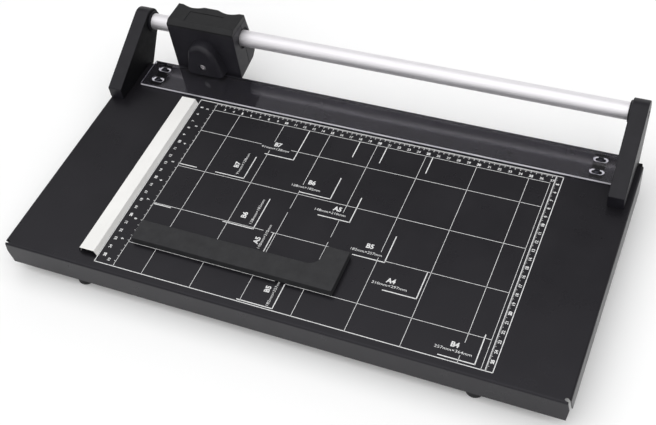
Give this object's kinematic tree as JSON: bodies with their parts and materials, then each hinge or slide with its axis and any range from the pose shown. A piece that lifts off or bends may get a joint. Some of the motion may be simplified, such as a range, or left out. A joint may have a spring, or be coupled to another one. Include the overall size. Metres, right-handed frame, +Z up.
{
  "type": "rotary paper trimmer",
  "caption": "Desk paper trimmer: folded steel table with side fence, rail on two end brackets, sliding head with a rolling disc blade, clear guard strip and loose stop.",
  "frame": {"origin": "middle of the machine's outline in plan at rest, on the ground under the feet", "axes": "+X to the operator's right along the rail, +Y away from the operator towards the rail, +Z up"},
  "size_m": [0.543, 0.3094, 0.0991],
  "materials": {
    "black_powder_coat": "fine black powder coat with light grey printed rulings",
    "black_moulding": "lightly grained black moulding",
    "head_moulding": "satin black moulding",
    "cap_moulding": "finely grained black moulding",
    "label_film": "plain dark film",
    "white_coat": "satin white coat",
    "satin_aluminium": "satin drawn tube",
    "blade_steel": "ground",
    "bar_steel": "ground",
    "zinc_steel": "zinc plated",
    "black_screw_steel": "black oxide",
    "clear_acrylic": "polished clear sheet",
    "stop_moulding": "grained charcoal moulding",
    "black_rubber": "matte",
    "grey_felt": "felt",
    "magnet_ferrite": "sintered",
    "white_nylon": "natural nylon",
    "bronze": "turned"
  },
  "bodies": {
    "base": {"base_tray": "black_powder_coat", "cutting_bar": "bar_steel", "cutting_bar_screw_1": "zinc_steel", "cutting_bar_screw_2": "zinc_steel", "cutting_bar_screw_3": "zinc_steel", "foot_front_left": "black_rubber", "foot_front_right": "black_rubber", "foot_rear_left": "black_rubber", "foot_rear_right": "black_rubber", "foot_stud_front_left": "zinc_steel", "foot_stud_front_right": "zinc_steel", "foot_stud_rear_left": "zinc_steel", "foot_stud_rear_right": "zinc_steel", "side_fence": "white_coat", "fence_block_rear": "white_nylon", "fence_block_front": "white_nylon", "fence_screw_rear": "zinc_steel", "fence_screw_front": "zinc_steel", "left_bracket": "black_moulding", "right_bracket": "black_moulding", "bracket_screw_left_front": "zinc_steel", "bracket_screw_left_rear": "zinc_steel", "bracket_screw_right_front": "zinc_steel", "bracket_screw_right_rear": "zinc_steel", "rail_tube": "satin_aluminium", "tube_plug_left": "white_nylon", "tube_plug_right": "white_nylon", "tube_end_screw_left": "black_screw_steel", "tube_end_screw_right": "black_screw_steel", "guard_screw_left_rear": "black_screw_steel", "guard_screw_left_front": "black_screw_steel", "guard_screw_right_rear": "black_screw_steel", "guard_screw_right_front": "black_screw_steel", "guard_spacer_left": "black_moulding", "guard_spacer_right": "black_moulding"},
    "guard": {"guard_strip": "clear_acrylic"},
    "stop": {"stop_block": "stop_moulding", "stop_magnet_left": "magnet_ferrite", "stop_magnet_right": "magnet_ferrite", "stop_felt": "grey_felt"},
    "head": {"head_front_shell": "head_moulding", "head_rear_shell": "head_moulding", "head_shell_screw_low_left": "black_screw_steel", "head_shell_screw_low_right": "black_screw_steel", "head_shell_screw_high_left": "black_screw_steel", "head_shell_screw_high_right": "black_screw_steel", "head_cap": "cap_moulding", "label_plate": "label_film", "slide_bush_left": "head_moulding", "slide_bush_right": "head_moulding", "blade_cover": "head_moulding", "blade_axle_screw": "zinc_steel", "blade_axle_nut": "zinc_steel", "blade_spring": "zinc_steel", "blade_spacer": "zinc_steel"},
    "blade": {"blade_disc": "blade_steel", "blade_bearing": "bronze"}
  },
  "joints": [
    {"name": "head_slide", "type": "slide", "parent": "base", "child": "head", "axis": [1, 0, 0], "range_m": [-0.0293, 0.3952]},
    {"name": "blade_roll", "type": "hinge", "parent": "head", "child": "blade", "pos_m": [-0.1843, 0.11415, 0.0548], "axis": [0, 1, 0], "continuous": true},
    {"name": "stop_slide", "type": "slide", "parent": "base", "child": "stop", "axis": [0, 1, 0], "range_m": [-0.036, 0.145]},
    {"name": "guard_lift", "type": "slide", "parent": "base", "child": "guard", "axis": [0, 0, 1], "range_m": [0, 0.001]}
  ],
  "couplings": [
    {"joint": "blade_roll", "follows": "head_slide", "rad_per_m": 60.606}
  ]
}
